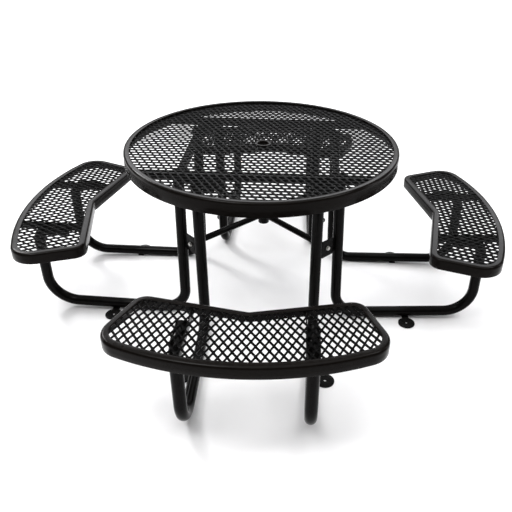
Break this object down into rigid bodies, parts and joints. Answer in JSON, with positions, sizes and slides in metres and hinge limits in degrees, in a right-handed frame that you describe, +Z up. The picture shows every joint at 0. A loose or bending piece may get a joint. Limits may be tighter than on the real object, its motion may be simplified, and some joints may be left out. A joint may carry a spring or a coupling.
{
  "type": "picnic table",
  "caption": "Round expanded-metal picnic table with curved bench seats carried on bent-tube legs, an umbrella hole and a cross brace.",
  "frame": {"origin": "on the floor under the umbrella hole, at the middle of the four seats", "axes": "+Z up; -Y towards the front seat, +X towards the right seat"},
  "size_m": [2.1384, 2.1384, 0.744],
  "materials": {
    "mesh_coating": "glossy black coating on expanded metal",
    "rim_coating": "glossy black coating",
    "leg_coating": "glossy black powder coating on tube",
    "bracket_coating": "glossy black powder coating",
    "foot_coating": "glossy black powder coating",
    "zinc_bolt": "zinc-plated"
  },
  "bodies": {
    "root": {"bolt_back_left": "zinc_bolt", "bolt_back_right": "zinc_bolt", "bolt_front_left": "zinc_bolt", "bolt_front_right": "zinc_bolt", "brace_arm_back_left": "bracket_coating", "brace_arm_back_right": "bracket_coating", "brace_arm_front_left": "bracket_coating", "brace_arm_front_right": "bracket_coating", "brace_hub": "bracket_coating", "corner_plate_back_left": "bracket_coating", "corner_plate_back_right": "bracket_coating", "corner_plate_front_left": "bracket_coating", "corner_plate_front_right": "bracket_coating", "foot_back_a": "foot_coating", "foot_back_b": "foot_coating", "foot_front_a": "foot_coating", "foot_front_b": "foot_coating", "foot_left_a": "foot_coating", "foot_left_b": "foot_coating", "foot_right_a": "foot_coating", "foot_right_b": "foot_coating", "gusset_back_left": "bracket_coating", "gusset_back_right": "bracket_coating", "gusset_front_left": "bracket_coating", "gusset_front_right": "bracket_coating", "leg_back_a": "leg_coating", "leg_back_b": "leg_coating", "leg_front_a": "leg_coating", "leg_front_b": "leg_coating", "leg_left_a": "leg_coating", "leg_left_b": "leg_coating", "leg_right_a": "leg_coating", "leg_right_b": "leg_coating", "seat_bracket_back_a": "bracket_coating", "seat_bracket_back_b": "bracket_coating", "seat_bracket_front_a": "bracket_coating", "seat_bracket_front_b": "bracket_coating", "seat_bracket_left_a": "bracket_coating", "seat_bracket_left_b": "bracket_coating", "seat_bracket_right_a": "bracket_coating", "seat_bracket_right_b": "bracket_coating", "seat_mesh_back": "mesh_coating", "seat_mesh_front": "mesh_coating", "seat_mesh_left": "mesh_coating", "seat_mesh_right": "mesh_coating", "seat_rim_back": "rim_coating", "seat_rim_front": "rim_coating", "seat_rim_left": "rim_coating", "seat_rim_right": "rim_coating", "tabletop_mesh": "mesh_coating", "tabletop_rim": "rim_coating", "top_bar_back": "bracket_coating", "top_bar_front": "bracket_coating", "top_bar_left": "bracket_coating", "top_bar_right": "bracket_coating", "umbrella_collar": "rim_coating"}
  },
  "joints": []
}
